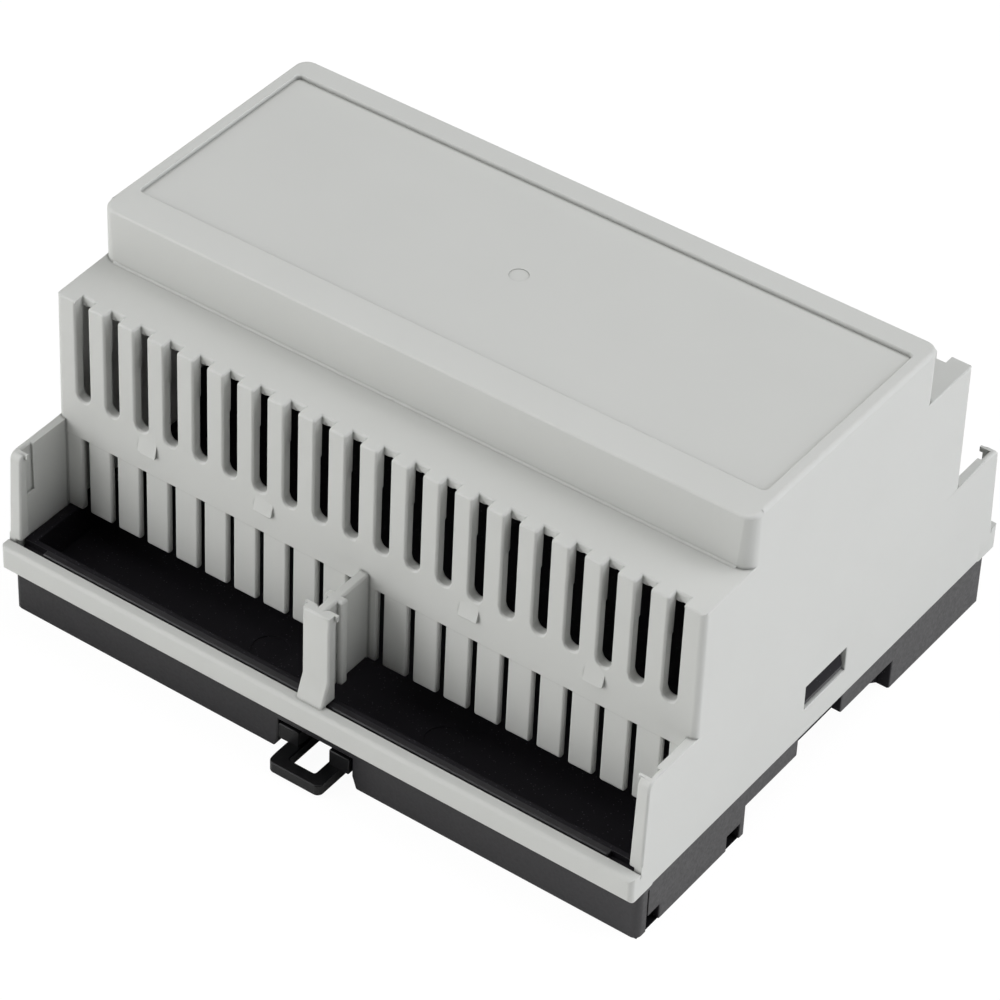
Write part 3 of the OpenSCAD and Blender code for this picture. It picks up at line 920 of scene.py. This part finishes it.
@dataclass
class RailClip(Moulding):
    """The black clip: plate with the pull loop, runners and the nose under the rail."""

    node: str = "rail_clip"
    body: Body = Body.CLIP
    slot: Slot = Slot.CLIP
    finish: MouldedPlastic = CLIP_POLYAMIDE
    rounding: EdgeRounding = EdgeRounding(0.15)
    cuts_x_mm: tuple[float, ...] = (-4.0, 0.0, 4.0)
    cuts_y_mm: tuple[float, ...] = (-26.0, -43.0)


@dataclass(frozen=True)
class Lamp:
    """One soft studio lamp that points at the case.

    Attributes:
        name: what the lamp does.
        azimuth_deg: direction that it stands in, from +X towards +Y.
        elevation_deg: height above the horizon.
        size_m: side of its square face.
        watts: power.
        distance_m: distance from the case.
        colour: sRGB colour of its light.
    """

    name: str
    azimuth_deg: float
    elevation_deg: float
    size_m: float
    watts: float
    distance_m: float = 1.0
    colour: str = "#ffffff"

    def build(self, aim: Vector) -> None:
        """Places the lamp and turns it towards the aim.

        Args:
            aim: point that it lights.
        """
        azimuth = math.radians(self.azimuth_deg)
        elevation = math.radians(self.elevation_deg)
        away = Vector(
            (
                math.cos(elevation) * math.cos(azimuth),
                math.cos(elevation) * math.sin(azimuth),
                math.sin(elevation),
            )
        )
        data = bpy.data.lights.new(self.name, "AREA")
        data.shape = "SQUARE"
        data.size = self.size_m
        data.energy = self.watts
        data.color = linear(self.colour)[:3]
        lamp = bpy.data.objects.new(self.name, data)
        bpy.context.scene.collection.objects.link(lamp)
        lamp.location = aim + away * self.distance_m
        lamp.rotation_euler = away.to_track_quat("Z", "Y").to_euler()


@dataclass
class Studio:
    """Pale floor, soft lamps, even surroundings and the camera.

    Attributes:
        floor_radius_m: radius of the floor.
        floor_rise_m: rise of the floor towards its edge.
        floor_grid: rings and spokes of the floor's grid.
        floor_gap_mm: gap between the feet and the floor, so that no two faces share a place.
        floor_colour: sRGB colour of the floor.
        floor_white: share of plain white that the camera sees on the floor.
        white_strength: strength of that white, which with the paper's share comes to 1.
        sheen_mm: places along X between which glossy faces come to see plain white.
        feet_from_mm: least distances along X and Y of the floor under the feet's ends.
        feet_to_mm: largest distances of it.
        painted_feet_shade: sRGB colour of the shade painted on the floor there.
        sky_strength: strength of the even light from all round.
        camera_at_mm: place of the camera.
        camera_aim_mm: point in the middle of the picture.
        camera_roll_deg: turn of the camera about its line of sight.
        camera_lens_mm: focal length.
        camera_sensor_mm: width of the sensor.
        camera_near_m: nearest distance that the camera shows.
        lamp_aim_mm: point that the lamps light.
        lamps: the soft lamps.
    """

    floor_radius_m: float = 4.0
    floor_rise_m: float = 0.05
    floor_grid: tuple[int, int] = (40, 96)
    floor_gap_mm: float = 0.02
    floor_colour: str = "#f8f8f6"
    floor_white: float = 0.93
    white_strength: float = 1.03
    sheen_mm: tuple[float, float] = (0.0, 120.0)
    feet_from_mm: tuple[float, float] = (38.0, 18.6)
    feet_to_mm: tuple[float, float] = (52.5, 42.3)
    # Painted shade on the floor under the feet's ends.
    painted_feet_shade: str = "#1c1c1e"
    sky_strength: float = 0.02
    camera_at_mm: tuple[float, float, float] = (265.071, -387.477, 410.797)
    camera_aim_mm: tuple[float, float, float] = (7.718, -12.506, 26.0)
    camera_roll_deg: float = 2.478
    camera_lens_mm: float = 160.591
    camera_sensor_mm: float = 36.0
    camera_near_m: float = 0.01
    lamp_aim_mm: tuple[float, float, float] = (0.0, 0.0, 20.0)
    lamps: tuple[Lamp, ...] = (
        Lamp("front_left_key", 225.0, 20.0, 0.9, 8.3),
        Lamp("right_key", 22.0, 20.0, 0.9, 6.0, colour="#f9faff"),
        Lamp("rear_right_high", 45.0, 50.0, 0.9, 4.0),
        Lamp("overhead", 0.0, 88.0, 0.9, 4.1),
        Lamp("front_fill", 270.0, 20.0, 0.9, 0.3),
    )

    def build(self, lowest_m: float) -> None:
        """Builds the studio round the case.

        Args:
            lowest_m: height of the case's feet.
        """
        self.build_floor(lowest_m)
        self.build_sky()
        for lamp in self.lamps:
            lamp.build(Vector(self.lamp_aim_mm) * MM)
        self.build_camera()
        bpy.context.scene.view_settings.view_transform = "Standard"

    def build_floor(self, lowest_m: float) -> None:
        """Makes a round floor that rises gently towards its edge.

        A point lies at radius r and angle a, and its height is the rise times the fourth
        power of r over the floor's radius.

        Args:
            lowest_m: height of the case's feet.
        """
        rings, spokes = self.floor_grid
        share = np.linspace(0.0, 1.0, rings)[:, None]
        angle = np.linspace(0.0, 2.0 * np.pi, spokes, endpoint=False)[None, :]
        radius = self.floor_radius_m * share
        height = lowest_m - self.floor_gap_mm * MM + self.floor_rise_m * share**4
        points = np.stack(
            [radius * np.cos(angle), radius * np.sin(angle), height + 0.0 * angle], axis=-1
        )
        floor = add_piece("floor", grid_mesh("floor", points))
        floor.data.materials.append(self.floor_material())
        floor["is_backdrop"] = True

    def floor_material(self) -> bpy.types.Material:
        """Makes matt paper that the camera sees as white with a faint shadow.

        The paper has one side only, so that the case can be seen from below. Under the feet's ends
        it is painted dark as painted shade.

        Returns:
            The floor's material.
        """
        material = bpy.data.materials.new("pale_paper_floor")
        material.use_nodes = True
        tree = material.node_tree
        tree.nodes.clear()
        path = add_node(tree, "ShaderNodeLightPath")
        seen = add_node(
            tree,
            "ShaderNodeMath",
            {"operation": "MAXIMUM"},
            {0: path.outputs["Is Glossy Ray"], 1: path.outputs["Is Transmission Ray"]},
        )
        place = add_node(tree, "ShaderNodeTexCoord").outputs["Object"]
        along = add_node(tree, "ShaderNodeSeparateXYZ", inputs={0: place}).outputs[0]
        card = add_node(
            tree,
            "ShaderNodeMapRange",
            inputs={"Value": along, 1: self.sheen_mm[0] * MM, 2: self.sheen_mm[1] * MM},
        )
        sheen = add_node(
            tree,
            "ShaderNodeMath",
            {"operation": "MULTIPLY"},
            {0: seen.outputs[0], 1: card.outputs[0]},
        )
        share = add_node(
            tree,
            "ShaderNodeMath",
            {"operation": "MULTIPLY_ADD"},
            {0: path.outputs["Is Camera Ray"], 1: self.floor_white, 2: sheen.outputs[0]},
        )
        under = inside_box(tree, place, self.feet_to_mm, self.feet_from_mm)
        open_floor = add_node(tree, "ShaderNodeMath", {"operation": "SUBTRACT"}, {0: 1.0, 1: under})
        share = add_node(
            tree,
            "ShaderNodeMath",
            {"operation": "MULTIPLY"},
            {0: share.outputs[0], 1: open_floor.outputs[0]},
        )
        # Painted shade: the paper under the feet's ends is dark, standing in for the shadow inside
        # the hollow feet.
        colour = add_node(
            tree,
            "ShaderNodeMix",
            {"data_type": "RGBA"},
            {0: under, 6: linear(self.floor_colour), 7: linear(self.painted_feet_shade)},
        )
        paper = add_node(tree, "ShaderNodeBsdfDiffuse", inputs={"Color": colour.outputs[2]})
        white = add_node(
            tree, "ShaderNodeEmission", inputs={"Color": WHITE, "Strength": self.white_strength}
        )
        mix = add_node(
            tree,
            "ShaderNodeMixShader",
            inputs={0: share.outputs[0], 1: paper.outputs[0], 2: white.outputs[0]},
        )
        back = add_node(tree, "ShaderNodeNewGeometry").outputs["Backfacing"]
        clear = add_node(tree, "ShaderNodeBsdfTransparent")
        sheet = add_node(
            tree, "ShaderNodeMixShader", inputs={0: back, 1: mix.outputs[0], 2: clear.outputs[0]}
        )
        add_node(tree, "ShaderNodeOutputMaterial", inputs={"Surface": sheet.outputs[0]})
        return material

    def build_sky(self) -> None:
        """Makes the even surroundings, which the camera sees as white."""
        world = bpy.data.worlds.new("studio")
        bpy.context.scene.world = world
        world.use_nodes = True
        tree = world.node_tree
        tree.nodes.clear()
        path = add_node(tree, "ShaderNodeLightPath")
        strength = add_node(
            tree,
            "ShaderNodeMapRange",
            inputs={"Value": path.outputs["Is Camera Ray"], 3: self.sky_strength, 4: 1.0},
        )
        sky = add_node(
            tree,
            "ShaderNodeBackground",
            inputs={"Color": WHITE, "Strength": strength.outputs[0]},
        )
        add_node(tree, "ShaderNodeOutputWorld", inputs={"Surface": sky.outputs[0]})

    def build_camera(self) -> None:
        """Sets the camera at the photograph's place, aim and roll."""
        place = Vector(self.camera_at_mm) * MM
        ahead = (Vector(self.camera_aim_mm) * MM - place).normalized()
        level = ahead.cross(Vector((0.0, 0.0, 1.0))).normalized()
        roll = math.radians(self.camera_roll_deg)
        right = level * math.cos(roll) + level.cross(ahead) * math.sin(roll)
        up = right.cross(ahead)
        data = bpy.data.cameras.new("photo_camera")
        data.lens = self.camera_lens_mm
        data.sensor_width = self.camera_sensor_mm
        data.clip_start = self.camera_near_m
        camera = bpy.data.objects.new("photo_camera", data)
        bpy.context.scene.collection.objects.link(camera)
        turn = Matrix((right, up, -ahead)).transposed()
        camera.matrix_world = Matrix.Translation(place) @ turn.to_4x4()
        bpy.context.scene.camera = camera


def main() -> None:
    """Builds the mouldings and the studio."""
    logging.basicConfig(level=logging.INFO, format="%(name)s: %(message)s")
    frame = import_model()
    cad_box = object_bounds()
    for moulding in (Cover(), Base(), RailClip()):
        piece = moulding.build(frame)
        moulding.dress()
        LOG.info("%s: %d faces", piece.name, len(piece.data.polygons))
    Studio().build(float(cad_box[0][2]))


if __name__ == "__main__":
    main()
